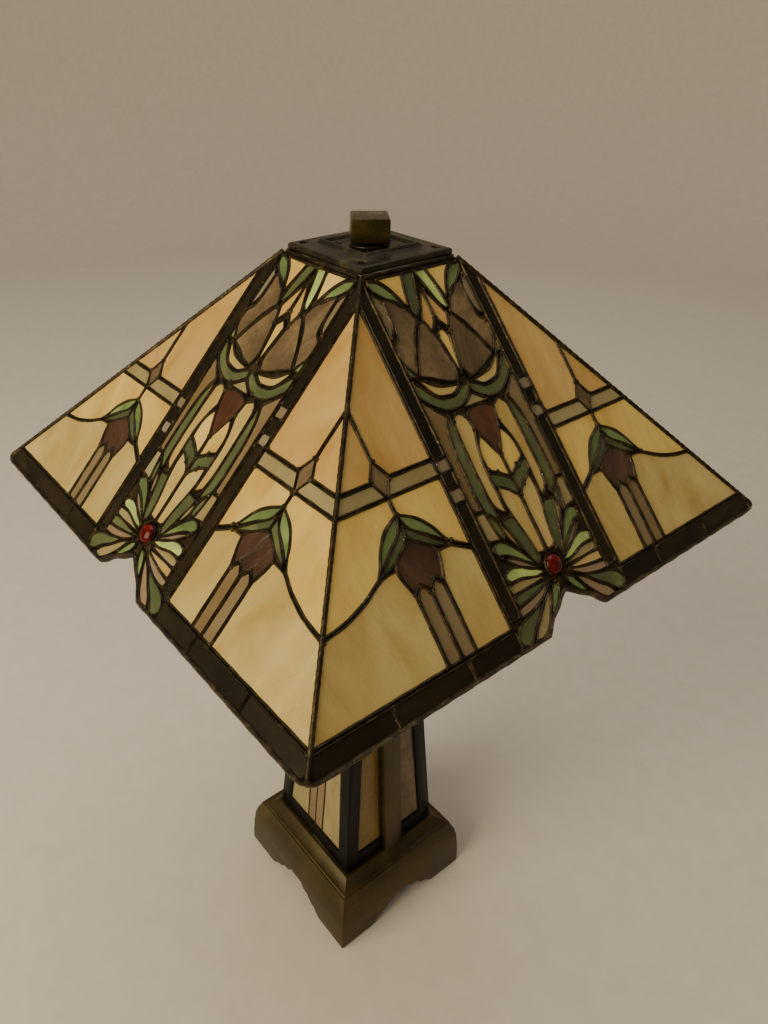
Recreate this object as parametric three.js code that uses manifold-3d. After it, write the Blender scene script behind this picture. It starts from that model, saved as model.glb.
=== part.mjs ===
// Table lamp: a four-sided leaded glass shade on a tapered glass column and a square cast base.
// Millimetres, +Z up, origin on the table under the middle of the base.
import * as THREE from "three";
import { mergeVertices } from "three/addons/utils/BufferGeometryUtils.js";
import Module from "manifold-3d";

const wasm = await Module();
wasm.setup();

// ---- Driving dimensions -------------------------------------------------------------------
const GAP = 0.3; // clearance between pieces that touch

const SHADE_HALF = 203; // half the side of the square rim
const SHADE_RIM_Z = 455.2;
const SHADE_TOP_HALF = 37;
const SHADE_TOP_Z = 631.7;
const GLASS_THICKNESS = 3;
const LEAD_PROUD = 1.2; // how far the leads stand above the glass
const LEAD_DEPTH = 3.4; // how far they reach below its outer face
const HIP_RADIUS = 2; // the solder down each corner of the shade

const COLUMN_Z = 69;
const COLUMN_TOP_Z = 392;
const COLUMN_FOOT_HALF = 53.85;
const COLUMN_TAPER = 0.0725; // loss of half width per millimetre of height
const COLUMN_POST = 14;
const COLUMN_RAIL = 17;
const COLUMN_WALL = 5.4;
const COLUMN_PLATE = 8; // height of the plate that closes its top

const BASE_HALF = 76.6;
const BASE_TOP_Z = COLUMN_Z - GAP;
const BASE_FOOT_Z = 1.5;
const BASE_ROOF = 4; // thickness of the casting over its hollow
const PAD_AT = 61; // distance of the pads from the middle, along X and Y

const RISER_RADIUS = 4.9; // outside of the hollow threaded riser
const RISER_HOLE = RISER_RADIUS + GAP;
const RISER_TOP_Z = 648;
const RISER_FOOT_Z = 31;

const FINIAL_SIDE = 25.4;
const FINIAL_Z = 637.2;
const FINIAL_HEIGHT = 15.9;
const FINIAL_TURN = THREE.MathUtils.degToRad(53);

const BULB_AXIS_Z = 495;

// ---- Derived sizes ------------------------------------------------------------------------
const SHADE_RUN = SHADE_HALF - SHADE_TOP_HALF;
const SHADE_RISE = SHADE_TOP_Z - SHADE_RIM_Z;
const SLANT = Math.hypot(SHADE_RUN, SHADE_RISE);
const SHADE_PITCH = Math.atan2(SHADE_RISE, SHADE_RUN);
const COLUMN_PITCH = Math.atan2(1, COLUMN_TAPER);
const COLUMN_SLANT = (COLUMN_TOP_Z - COLUMN_Z) / Math.sin(COLUMN_PITCH);

// Half width of the shade's face, hip to hip, at a distance v down the slope.
const hipAt = (v) => SHADE_TOP_HALF + (SHADE_RUN * v) / SLANT;
// Half width of a column face at a distance y up its slope.
const columnHalfAt = (y) => COLUMN_FOOT_HALF - y * Math.cos(COLUMN_PITCH);

const SIDES = ["front", "right", "back", "left"];

// ---- Materials ----------------------------------------------------------------------------
const finish = (color, roughness, metalness, extra = {}) => () =>
  new THREE.MeshStandardMaterial({ color, roughness, metalness, ...extra });
const bronze = finish(0x5c4a26, 0.5, 0.75);
const darkBronze = finish(0x4a4234, 0.45, 0.8);
const blackFrame = finish(0x14120f, 0.4, 0.6);
const lead = finish(0x2b2822, 0.4, 0.8);
const amberGlass = finish(0xc79a5c, 0.25, 0, { transparent: true, opacity: 0.9 });
const patternGlass = finish(0x7d7446, 0.25, 0, { transparent: true, opacity: 0.9 });
const redGlass = finish(0x8c0a08, 0.1, 0);
const brass = finish(0xb08d4a, 0.35, 0.9);
const steel = finish(0x8b8b88, 0.4, 0.9);
const clearGlass = finish(0xf4efe2, 0.2, 0, { transparent: true, opacity: 0.8 });
const blackPlastic = finish(0x161616, 0.5, 0);
const rubber = finish(0x1b1a19, 0.8, 0);
const felt = finish(0x3a2f22, 1, 0);

// ---- Solids -------------------------------------------------------------------------------
// A closed geometry as a manifold solid whose faces point outwards.
function solid(geometry) {
  const bare = new THREE.BufferGeometry();
  const source = geometry.index ? geometry.toNonIndexed() : geometry;
  bare.setAttribute("position", source.getAttribute("position"));
  const merged = mergeVertices(bare, 1e-4);
  const corners = [];
  for (let i = 0; i < merged.index.count; i += 3) {
    const [a, b, c] = [0, 1, 2].map((k) => merged.index.getX(i + k));
    if (a !== b && b !== c && c !== a) corners.push(a, b, c);
  }
  const make = (order) =>
    new wasm.Manifold(
      new wasm.Mesh({
        numProp: 3,
        vertProperties: new Float32Array(merged.attributes.position.array),
        triVerts: new Uint32Array(order),
      }),
    );
  const made = make(corners);
  return made.volume() > 0 ? made : make(corners.reverse());
}

const join = (solids) => solids.reduce((sum, next) => sum.add(next));
const cut = (body, tools) => tools.reduce((left, tool) => left.subtract(tool), body);

// An outline in X and Y, as a prism between two heights.
function prism(outline, from, to) {
  const shape = outline instanceof THREE.Shape ? outline : polygon(outline);
  const geometry = new THREE.ExtrudeGeometry(shape, {
    depth: to - from,
    bevelEnabled: false,
    curveSegments: 6,
  });
  return geometry.translate(0, 0, from);
}

const polygon = (points) => new THREE.Shape(points.map(([x, y]) => new THREE.Vector2(x, y)));

// A profile of [radius, height] pairs turned about Z.
function turned(profile, segments = 24) {
  const points = profile.map(([r, z]) => new THREE.Vector2(r, z));
  return new THREE.LatheGeometry(points, segments).rotateX(Math.PI / 2);
}

// A profile of [half width, height] pairs swept round a square.
function squareTurned(profile) {
  const points = profile.map(([half, z]) => new THREE.Vector2(half * Math.SQRT2, z));
  return new THREE.LatheGeometry(points, 4, Math.PI / 4).rotateX(Math.PI / 2);
}

const drum = (radius, from, to, segments = 24) =>
  turned([[0, from], [radius, from], [radius, to], [0, to]], segments);

const washer = (inner, outer, from, to, segments = 24) =>
  turned([[inner, from], [outer, from], [outer, to], [inner, to], [inner, from]], segments);

// A flat ribbon of one width along a smooth line through the points.
function ribbon(points, width, steps = 1) {
  const line = new THREE.SplineCurve(points.map(([x, y]) => new THREE.Vector2(x, y)));
  const left = [];
  const right = [];
  for (let i = 0; i <= steps; i++) {
    const at = line.getPointAt(i / steps);
    const side = line.getTangentAt(i / steps).rotateAround(new THREE.Vector2(), Math.PI / 2);
    left.push(at.clone().addScaledVector(side, width / 2));
    right.unshift(at.clone().addScaledVector(side, -width / 2));
  }
  return new THREE.Shape([...left, ...right]);
}

// ---- Scene helpers ------------------------------------------------------------------------
const lamp = new THREE.Group();

function mesh(parent, name, shape, material) {
  let geometry = shape;
  if (!shape.isBufferGeometry) {
    const made = shape.getMesh();
    geometry = new THREE.BufferGeometry();
    geometry.setAttribute("position", new THREE.BufferAttribute(made.vertProperties, 3));
    geometry.setIndex(new THREE.BufferAttribute(made.triVerts, 1));
    geometry.computeVertexNormals();
  }
  const piece = new THREE.Mesh(geometry, material());
  piece.name = name;
  parent.add(piece);
  return piece;
}

// The plane of one side: X to the right, Y up the slope, Z out of the face.
function slopeGroup(parent, side, half, z, pitch) {
  const turn = new THREE.Group();
  turn.rotation.z = (side * Math.PI) / 2;
  const plane = new THREE.Group();
  plane.position.set(0, -half, z);
  plane.rotation.x = pitch;
  turn.add(plane);
  parent.add(turn);
  return plane;
}

const fourCorners = (at) => [[-at, -at], [-at, at], [at, -at], [at, at]];
const mirrored = (points) => points.map(([u, v]) => [-u, v]).reverse();
const fromTop = (points) => points.map(([u, v]) => [u, -v]); // v runs down the slope

// ---- Shade --------------------------------------------------------------------------------
const BAR_INNER = 39; // the dark bars stand between these distances from the middle of a face
const BAR_OUTER = 51;
const SHADE_TOP_V = 2.2; // the leads start below the lip of the cap
const CENTRE_TOP_V = 7.5;
const CENTRE_FOOT_V = 236;
const BORDER_V = 226; // top of the dark border along the rim
const NOTCH_TOP_V = 223.5;
const NOTCH = [[11, 230], [19, 234.5], [26, 241]];
const NOTCH_RIM = 5; // width of metal round the notch
const FRAME_INSET = HIP_RADIUS / Math.cos(Math.atan2(SHADE_RUN, SLANT)) + GAP;
const HIP_STRIP = 2.5; // flat lead between the hip and the glass
const JEWEL_V = 206;
const JEWEL_RADIUS = 6.5;

const openingHalf = (v) => hipAt(v) - FRAME_INSET - HIP_STRIP;
const openingV = (u) => ((u + FRAME_INSET + HIP_STRIP - SHADE_TOP_HALF) * SLANT) / SHADE_RUN;

// The three openings of a face, each drawn smaller by an inset: the middle band and two gores.
function centreOutline(inset) {
  const half = BAR_INNER - inset;
  const top = CENTRE_TOP_V + inset;
  const right = [
    [0, NOTCH_TOP_V - NOTCH_RIM - inset * 1.5],
    ...NOTCH.map(([u, v]) => [u + inset, v - NOTCH_RIM - inset]),
    [half, CENTRE_FOOT_V - inset],
    [half, openingV(half)],
    [Math.min(openingHalf(top) - inset, half), top],
  ];
  return fromTop([...right, ...mirrored(right.slice(1))]);
}

// The pointed notch in the middle of the rim, below the flower pattern.
function notchOutline() {
  const right = [...NOTCH, [27, SLANT + 5]];
  return fromTop([[0, NOTCH_TOP_V], ...right, ...mirrored(right)]);
}

function goreOutline(inset, mirror) {
  const foot = BORDER_V - inset;
  const near = BAR_OUTER + inset;
  const slope = inset * 1.6;
  const outline = [
    [near, openingV(near) + slope * 2],
    [near, foot],
    [openingHalf(foot) - slope, foot],
  ];
  return fromTop(mirror ? mirrored(outline) : outline);
}

const FINE_LEAD = 2.4;
// Fine leads that cross the glass of a face, as [points down the slope, steps] on its right half.
const FINE_LEADS = [
  [[[89.5, 86], [89.5, 141]], 1],
  [[[50, 119.5], [112, 119.5]], 1],
  [[[50, 130.5], [119, 130.5]], 1],
  [[[62, 168], [76, 156], [89.5, 141], [103, 156], [118, 170]], 6],
  [[[117, 169], [130, 176], [145, 181], [156, 182.6]], 3],
  [[[63, 167], [50, 175]], 1],
  [[[79, 178], [79, 228]], 1],
  [[[100, 178], [100, 228]], 1],
  [[[79, 179], [89.5, 157], [100, 179]], 4],
  [[[78, 180], [101, 180]], 1],
  [[[41, 84], [20, 97], [-1, 90]], 4],
  [[[13, 95], [16.5, 130], [16, 165], [9, 190]], 5],
  [[[8, 204], [18.5, 189], [41, 182]], 4],
  [[[7, 211], [22, 222], [41, 226]], 4],
  [[[-1, 30], [14, 50], [41, 62]], 4],
  [[[0, 214], [0, 221]], 1],
];

function faceLeads() {
  const foot = SLANT - GAP;
  const half = (v) => hipAt(v) - FRAME_INSET;
  const rim = [[half(SHADE_TOP_V), SHADE_TOP_V], [half(foot), foot]];
  const plate = prism(fromTop([...rim, ...mirrored(rim)]), -LEAD_DEPTH, LEAD_PROUD);
  const holes = [centreOutline(0), goreOutline(0, false), goreOutline(0, true)];
  const frame = cut(
    solid(plate),
    holes.map((hole) => solid(prism(hole, -LEAD_DEPTH - 1, LEAD_PROUD + 1))),
  );
  const lines = FINE_LEADS.flatMap(([points, steps]) =>
    [points, mirrored(points)].map((side) =>
      solid(prism(ribbon(fromTop(side), FINE_LEAD, steps), GAP, LEAD_PROUD + 0.3)),
    ),
  );
  const bead = [[half(foot) - 4, foot - 5], [half(foot) - 2, foot - 1]];
  const rimBead = solid(
    prism(fromTop([...bead, ...mirrored(bead)]), -LEAD_DEPTH - 1, LEAD_PROUD + 0.8),
  );
  const ring = solid(washer(JEWEL_RADIUS + GAP, JEWEL_RADIUS + 2.2, GAP, LEAD_PROUD + 0.8, 16)
    .translate(0, -JEWEL_V, 0));
  const seat = solid(drum(JEWEL_RADIUS + GAP, -9, 9, 16).translate(0, -JEWEL_V, 0));
  const notch = solid(prism(notchOutline(), -LEAD_DEPTH - 3, LEAD_PROUD + 3));
  return cut(join([frame, ...lines, rimBead, ring]), [seat, notch]);
}

function jewel() {
  const dome = [];
  for (let i = 0; i <= 5; i++) {
    const angle = (i / 5) * (Math.PI / 2);
    dome.push([JEWEL_RADIUS * Math.cos(angle), 3.6 * Math.sin(angle)]);
  }
  dome[5][0] = 0;
  return turned([[0, -GLASS_THICKNESS], [JEWEL_RADIUS, -GLASS_THICKNESS], ...dome], 16);
}

function hipBead() {
  const from = new THREE.Vector3(SHADE_TOP_HALF, -SHADE_TOP_HALF, SHADE_TOP_Z);
  const to = new THREE.Vector3(SHADE_HALF, -SHADE_HALF, SHADE_RIM_Z);
  const along = to.clone().sub(from);
  const start = (SHADE_TOP_V + 3) / SLANT;
  const end = 1 - 2.5 / SLANT;
  const length = along.length() * (end - start);
  const bar = new THREE.CylinderGeometry(HIP_RADIUS, HIP_RADIUS, length, 10);
  const middle = from.clone().addScaledVector(along, (start + end) / 2);
  const turn = new THREE.Quaternion().setFromUnitVectors(
    new THREE.Vector3(0, 1, 0),
    along.normalize(),
  );
  return bar.applyQuaternion(turn).translate(middle.x, middle.y, middle.z);
}

function buildShade() {
  SIDES.forEach((side, i) => {
    const plane = slopeGroup(lamp, i, SHADE_TOP_HALF, SHADE_TOP_Z, SHADE_PITCH);
    mesh(plane, `leads_${side}`, faceLeads(), lead);
    const centre = cut(solid(prism(centreOutline(GAP), -GLASS_THICKNESS, 0)), [
      solid(drum(JEWEL_RADIUS + GAP, -9, 9, 16).translate(0, -JEWEL_V, 0)),
    ]);
    mesh(plane, `glass_flower_${side}`, centre, patternGlass);
    for (const [end, mirror] of [["a", false], ["b", true]]) {
      const gore = prism(goreOutline(GAP, mirror), -GLASS_THICKNESS, 0);
      mesh(plane, `glass_gore_${side}_${end}`, gore, amberGlass);
    }
    mesh(plane, `jewel_${side}`, jewel(), redGlass).position.y = -JEWEL_V;

    const corner = new THREE.Group();
    corner.rotation.z = (i * Math.PI) / 2;
    lamp.add(corner);
    mesh(corner, `hip_lead_${i + 1}`, hipBead(), lead);
  });
}

// ---- Cap, seat and finial -------------------------------------------------------------------
const CAP_HALF = 38;
const CAP_UNDER_Z = 632.2;
const CAP_FLOOR_Z = 634.5; // top of the sunk square in the middle of the cap
const CAP_RIDGE = 22; // half width of the raised square round it
const CAP_HOLES = [[30.3, 3.2], [14.5, 2.8]]; // distance along X and Y, and radius
const CAP_LIP_Z = 628.5; // lowest edge of the cap's turned-down lip
const NUT_RADIUS = 9.2; // to the points of the hexagon
const NUT_HEIGHT = 8;
const SEAT_WASHER_RADIUS = 14;
const SEAT_WASHER_FOOT = CAP_UNDER_Z - 3.2;

function cap() {
  const through = [CAP_LIP_Z - 10, FINIAL_Z + 10];
  const plate = solid(
    squareTurned([
      [0, CAP_UNDER_Z], [CAP_HALF - 3.2, CAP_UNDER_Z], [CAP_HALF - 1.8, CAP_LIP_Z],
      [CAP_HALF, CAP_LIP_Z + 1.6],
      [CAP_HALF, 632.9], [CAP_HALF - 0.5, 633.7], [CAP_HALF - 1.6, 634.1], [CAP_RIDGE + 2.6, 634.8],
      [CAP_RIDGE + 0.8, 637], [CAP_RIDGE - 0.6, 637], [CAP_RIDGE - 2.2, CAP_FLOOR_Z],
      [0, CAP_FLOOR_Z],
    ]),
  );
  const holes = CAP_HOLES.flatMap(([at, radius]) =>
    fourCorners(at).map(([x, y]) => solid(drum(radius, ...through, 10).translate(x, y, 0))),
  );
  return cut(plate, [...holes, solid(drum(RISER_HOLE + 0.2, ...through))]);
}

const hexNut = (z, height = NUT_HEIGHT) =>
  cut(solid(drum(NUT_RADIUS, z, z + height, 6)), [
    solid(drum(RISER_HOLE, z - 1, z + height + 1)),
  ]);

function buildTop() {
  mesh(lamp, "shade_cap", cap(), darkBronze);
  const seat = washer(RISER_HOLE, SEAT_WASHER_RADIUS, SEAT_WASHER_FOOT, CAP_UNDER_Z - GAP);
  mesh(lamp, "shade_seat_washer", seat, brass);
  mesh(lamp, "shade_seat_nut", hexNut(SEAT_WASHER_FOOT - GAP - NUT_HEIGHT), brass);
  const under = CAP_FLOOR_Z + GAP;
  const top = FINIAL_Z - GAP;
  const dome = [
    [RISER_HOLE, under], [13.4, under], [13, under + 0.9], [11.4, top - 0.4], [9, top],
    [RISER_HOLE, top], [RISER_HOLE, under],
  ];
  mesh(lamp, "finial_washer", turned(dome), darkBronze);

  const half = FINIAL_SIDE / 2;
  const block = squareTurned([
    [0, 0], [half - 0.8, 0], [half, 0.8], [half - 0.3, FINIAL_HEIGHT - 1],
    [half - 1.3, FINIAL_HEIGHT], [0, FINIAL_HEIGHT],
  ]);
  const bore = solid(drum(RISER_HOLE, -1, RISER_TOP_Z + 1 - FINIAL_Z));
  const finial = mesh(lamp, "finial", cut(solid(block), [bore]), bronze);
  finial.position.z = FINIAL_Z;
  finial.rotation.z = FINIAL_TURN;
}

// ---- Riser and light cluster ----------------------------------------------------------------
const SOCKET_START = 18.3; // distance of the socket's closed end from the riser's axis
const SOCKET_END = 60;
const CHAIN_X = 30;
const CHAIN_TOP_Z = BULB_AXIS_Z - 18;
const CHAIN_FOOT_Z = 424;
const BULB_END = 122.2;
const BULB_WALL = 1.2;
const SLEEVE_RADIUS = 7.6;
const NIPPLE_RADIUS = 4.8; // the pipe that carries both sockets
const CLUSTER_RADIUS = 16;
const CLUSTER_RISE = 13; // from the bulbs' axis to the top and the foot of the cluster body

function socket() {
  const shell = solid(
    turned([
      [0, SOCKET_START], [8, SOCKET_START], [14.5, 22], [17, 28], [17, SOCKET_END],
      [15.8, SOCKET_END], [15.8, 36], [0, 36],
    ]),
  );
  const port = solid(drum(3.2, 12, 22, 12).rotateY(Math.PI / 2).translate(0, 0, CHAIN_X));
  const below = solid(drum(1.6, 10, 30, 10).rotateY(Math.PI / 2).translate(0, 0, CHAIN_X));
  return cut(join([shell, port]), [below]);
}

// A thin glass envelope, open at its contact end.
function bulb() {
  const outer = [
    [5, 37.4], [12.4, 40], [12.8, 58], [13.6, 64], [17.6, 75], [22.4, 87],
    [24, 97], [22.8, 107], [17.6, 116], [9.4, 121], [0, BULB_END],
  ];
  const inner = outer.slice(1, -1).map(([r, z]) => [r - BULB_WALL, z]).reverse();
  inner.unshift([0, BULB_END - BULB_WALL]);
  return turned([...outer, ...inner, [3.8, 37.4], [5, 37.4]], 16);
}

function buildCluster() {
  mesh(lamp, "riser_rod", washer(3.2, RISER_RADIUS, RISER_FOOT_Z, RISER_TOP_Z), steel);
  const sleeveFoot = COLUMN_TOP_Z + COLUMN_PLATE + GAP * 2;
  const sleeveTop = BULB_AXIS_Z - CLUSTER_RISE - GAP;
  const sleeve = washer(RISER_HOLE, SLEEVE_RADIUS, sleeveFoot, sleeveTop, 20);
  mesh(lamp, "riser_sleeve", sleeve, brass);

  const body = solid(
    turned([
      [0, BULB_AXIS_Z - CLUSTER_RISE], [CLUSTER_RADIUS - 3, BULB_AXIS_Z - CLUSTER_RISE],
      [CLUSTER_RADIUS, BULB_AXIS_Z - 9], [CLUSTER_RADIUS, BULB_AXIS_Z + 9],
      [CLUSTER_RADIUS - 3, BULB_AXIS_Z + CLUSTER_RISE], [0, BULB_AXIS_Z + CLUSTER_RISE],
    ]),
  );
  const nipples = solid(
    drum(NIPPLE_RADIUS, -18, 18, 16).rotateY(Math.PI / 2).translate(0, 0, BULB_AXIS_Z),
  );
  const bore = solid(drum(RISER_HOLE, BULB_AXIS_Z - 50, BULB_AXIS_Z + 50));
  mesh(lamp, "cluster_body", cut(body.add(nipples), [bore]), brass);
  mesh(lamp, "cluster_nut", hexNut(BULB_AXIS_Z + CLUSTER_RISE + GAP, 7), brass);

  [1, 2].forEach((number, i) => {
    const arm = new THREE.Group();
    arm.position.z = BULB_AXIS_Z;
    arm.rotation.set(0, Math.PI / 2, 0);
    const side = new THREE.Group();
    side.rotation.z = i * Math.PI;
    side.add(arm);
    lamp.add(side);
    mesh(arm, `socket_${number}`, socket(), brass);
    mesh(arm, `bulb_${number}`, bulb(), clearGlass);
    const chain = drum(1.1, CHAIN_FOOT_Z, CHAIN_TOP_Z, 8).translate(CHAIN_X, 0, 0);
    mesh(side, `pull_chain_${number}`, chain, brass);
    const knob = turned([
      [0, -12], [3.6, -12], [4.6, -10], [3.6, -6], [1.8, -3], [1.8, -GAP], [0, -GAP],
    ], 14).translate(CHAIN_X, 0, CHAIN_FOOT_Z);
    mesh(side, `chain_knob_${number}`, knob, brass);
  });
}

// ---- Column -----------------------------------------------------------------------------------
const STRAP_SIDES = ["right", "left"];
const STRAP_HALF = 10;
const STRAP_PROUD = 6;
const WINDOW_SETBACK = 5; // from a column face to the inner side of its glass
const NIGHT_LIGHT_Y = 24;

function windowOutline(inset) {
  const foot = COLUMN_RAIL + inset;
  const head = COLUMN_SLANT - COLUMN_RAIL - inset;
  const half = (y) => columnHalfAt(y) - COLUMN_POST - inset;
  return [[-half(foot), foot], [half(foot), foot], [half(head), head], [-half(head), head]];
}

function columnFrame() {
  const topHalf = columnHalfAt(COLUMN_SLANT);
  const shell = [
    [COLUMN_FOOT_HALF - COLUMN_WALL, COLUMN_Z], [COLUMN_FOOT_HALF, COLUMN_Z],
    [topHalf, COLUMN_TOP_Z], [topHalf - COLUMN_WALL, COLUMN_TOP_Z],
    [COLUMN_FOOT_HALF - COLUMN_WALL, COLUMN_Z],
  ];
  const windows = SIDES.map((side, i) => {
    const hole = prism(windowOutline(0), -15, 4).rotateX(COLUMN_PITCH);
    hole.translate(0, -COLUMN_FOOT_HALF, COLUMN_Z);
    return solid(hole.rotateZ((i * Math.PI) / 2));
  });
  return cut(solid(squareTurned(shell)), windows);
}

function buildColumn() {
  mesh(lamp, "column_frame", columnFrame(), blackFrame);
  SIDES.forEach((side, i) => {
    const plane = slopeGroup(lamp, i, COLUMN_FOOT_HALF, COLUMN_Z, COLUMN_PITCH);
    const pane = prism(windowOutline(GAP), -WINDOW_SETBACK, GLASS_THICKNESS - WINDOW_SETBACK);
    mesh(plane, `column_glass_${side}`, pane, amberGlass);
    if (STRAP_SIDES.includes(side)) {
      const [foot, head] = [0.6, COLUMN_SLANT - 2];
      const strap = [[-STRAP_HALF, foot], [STRAP_HALF, foot], [STRAP_HALF, head], [-STRAP_HALF, head]];
      mesh(plane, `column_strap_${side}`, prism(strap, GAP, STRAP_PROUD), bronze);
    }
  });
  const z = COLUMN_TOP_Z + GAP;
  const plateTop = z + COLUMN_PLATE;
  const plate = solid(
    squareTurned([[0, z], [37, z], [37, z + 3], [33, z + 5], [12, plateTop], [0, plateTop]]),
  );
  mesh(lamp, "column_top_plate", cut(plate, [solid(drum(RISER_HOLE, z - 9, plateTop + 9))]), bronze);

  const nightZ = BASE_TOP_Z + GAP;
  const holder = turned([
    [0, nightZ], [12, nightZ], [12, nightZ + 3], [9.5, nightZ + 5], [9.5, nightZ + 40],
    [8.2, nightZ + 40], [8.2, nightZ + 22], [0, nightZ + 22],
  ], 16).translate(0, NIGHT_LIGHT_Y, 0);
  mesh(lamp, "night_light_socket", holder, blackPlastic);
  const flame = turned([
    [0, nightZ + 24], [6.4, nightZ + 25], [6.4, nightZ + 42], [9, nightZ + 50],
    [10.5, nightZ + 60], [8, nightZ + 74], [3.5, nightZ + 84], [0, nightZ + 87],
  ], 16).translate(0, NIGHT_LIGHT_Y, 0);
  mesh(lamp, "night_light_bulb", flame, clearGlass);
}

// ---- Base ---------------------------------------------------------------------------------------
const COVER_Z = 26; // underside of the bottom cover
const COVER_HALF = 71.5;
const COVER_THICKNESS = 1.6;
const NOTCH_RADIUS = 16; // cut out of the cover round each boss
const BOSS_RADIUS = 9;
const PAD_RADIUS = 8;
const INLET_Z = 38;
const INLET_RADIUS = 6.6;

// The opening between two feet: a stepped arch with round shoulders, drawn across X.
function archOutline() {
  const half = new THREE.Path();
  half.moveTo(8.5, 23);
  half.quadraticCurveTo(11, 19, 13.5, 17.6);
  half.lineTo(19.5, 16.8);
  half.quadraticCurveTo(23.5, 12, 26.5, 10);
  half.lineTo(31, 9);
  half.quadraticCurveTo(36, 2.5, 41, BASE_FOOT_Z - 0.5);
  half.lineTo(42, -5);
  const right = half.getPoints(6).map((point) => [point.x, point.y]);
  return [...right, ...mirrored(right)];
}

function baseCasting() {
  const outside = [
    [BASE_HALF, BASE_FOOT_Z], [BASE_HALF - 0.3, 14], [BASE_HALF - 1.2, 30],
    [BASE_HALF - 2.6, 43], [BASE_HALF - 4.8, 52], [BASE_HALF - 7.3, 57.5],
    [BASE_HALF - 8.2, 60.2], [BASE_HALF - 9.6, 60.4], [BASE_HALF - 10.4, 61.8],
    [BASE_HALF - 12, 62.2], [COLUMN_FOOT_HALF + 3, 67], [COLUMN_FOOT_HALF + 2, BASE_TOP_Z],
    [0, BASE_TOP_Z],
  ];
  const inside = [
    [0, BASE_TOP_Z - BASE_ROOF], [52, BASE_TOP_Z - BASE_ROOF], [63.5, 57], [69, 46], [72, 30],
    [73, BASE_FOOT_Z],
  ];
  const shell = solid(squareTurned([...inside, ...outside]));
  const bosses = fourCorners(PAD_AT).map(([x, y]) =>
    solid(drum(BOSS_RADIUS, BASE_FOOT_Z, 50, 16).translate(x, y, 0)),
  );
  const arch = prism(archOutline(), -90, 90).rotateX(Math.PI / 2);
  const holes = [
    solid(arch.clone()),
    solid(arch.rotateZ(Math.PI / 2)),
    solid(drum(RISER_HOLE, 50, 80)),
    solid(drum(INLET_RADIUS, 60, 90, 16).rotateX(-Math.PI / 2).translate(0, 0, INLET_Z)),
  ];
  return cut(join([shell, ...bosses]), holes);
}

function buildBase() {
  mesh(lamp, "base_casting", baseCasting(), bronze);
  const corners = fourCorners(PAD_AT);
  const top = COVER_Z + COVER_THICKNESS;
  const plate = squareTurned([[0, COVER_Z], [COVER_HALF, COVER_Z], [COVER_HALF, top], [0, top]]);
  const notches = corners.map(([x, y]) =>
    solid(drum(NOTCH_RADIUS, 0, 60, 16).translate(x, y, 0)),
  );
  mesh(lamp, "bottom_cover", cut(solid(plate), notches), steel);
  corners.forEach(([x, y], i) => {
    const pad = drum(PAD_RADIUS, 0, BASE_FOOT_Z - GAP, 16).translate(x, y, 0);
    mesh(lamp, `felt_pad_${i + 1}`, pad, felt);
  });
  const grommet = turned([
    [4, 69], [6.2, 69], [6.2, 76.2], [8.6, 76.2], [8.6, 77.6], [7.6, 78.4], [4, 78.4], [4, 69],
  ], 16).rotateX(-Math.PI / 2).translate(0, 0, INLET_Z);
  mesh(lamp, "cord_inlet_grommet", grommet, rubber);
  mesh(lamp, "riser_lock_nut", hexNut(BASE_TOP_Z - BASE_ROOF - GAP - NUT_HEIGHT), steel);
}

buildShade();
buildTop();
buildCluster();
buildColumn();
buildBase();

export default lamp;
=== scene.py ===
"""The looks of a leaded glass table lamp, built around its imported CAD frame. +Z up, in metres."""
import math
import random

import bmesh
import bpy
from mathutils import Matrix, Vector


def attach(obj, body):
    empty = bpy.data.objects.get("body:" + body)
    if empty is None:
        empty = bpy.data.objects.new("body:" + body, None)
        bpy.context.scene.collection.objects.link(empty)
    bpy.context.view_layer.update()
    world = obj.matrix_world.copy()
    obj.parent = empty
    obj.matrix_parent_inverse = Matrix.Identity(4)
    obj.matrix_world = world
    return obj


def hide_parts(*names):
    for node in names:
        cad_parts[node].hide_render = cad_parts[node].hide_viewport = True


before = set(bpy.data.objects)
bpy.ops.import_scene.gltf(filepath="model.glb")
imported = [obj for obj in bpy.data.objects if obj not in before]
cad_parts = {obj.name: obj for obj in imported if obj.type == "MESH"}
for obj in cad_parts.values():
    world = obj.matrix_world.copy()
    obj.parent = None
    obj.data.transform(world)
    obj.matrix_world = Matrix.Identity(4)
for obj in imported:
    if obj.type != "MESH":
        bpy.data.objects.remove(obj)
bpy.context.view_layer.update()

MM = 0.001
SIDES = ("front", "right", "back", "left")
FACE_SEED, HIP_SEED, COLUMN_SEED, GLINT_SEED = 100, 40, 300, 500

# ---- Driving dimensions in millimetres, as in the CAD model -----------------
SHADE_HALF = 203
SHADE_RIM_Z = 455.2
SHADE_TOP_HALF = 37
SHADE_TOP_Z = 631.7
GLASS = 3
HIP_EDGE = 1.1  # from the hip line to the glass, across a face
COLUMN_FOOT_HALF = 53.85
COLUMN_Z = 69
COLUMN_TOP_Z = 392
COLUMN_TAPER = 0.0725
COLUMN_POST = 14
COLUMN_RAIL = 17

SHADE_RUN = SHADE_HALF - SHADE_TOP_HALF
SHADE_RISE = SHADE_TOP_Z - SHADE_RIM_Z
SLANT = math.hypot(SHADE_RUN, SHADE_RISE)
SHADE_PITCH = math.atan2(SHADE_RISE, SHADE_RUN)
COLUMN_PITCH = math.atan2(1, COLUMN_TAPER)
COLUMN_SLANT = (COLUMN_TOP_Z - COLUMN_Z) / math.sin(COLUMN_PITCH)


def hip(v):
    """Half width of a shade face at a distance v down its slope."""
    return SHADE_TOP_HALF + SHADE_RUN * v / SLANT


def glass_hip(v):
    return hip(v) - HIP_EDGE


LYING = Matrix.Rotation(math.pi / 2, 4, "Y")


def turned_to(index):
    return Matrix.Rotation(index * math.pi / 2, 4, "Z")


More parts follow.
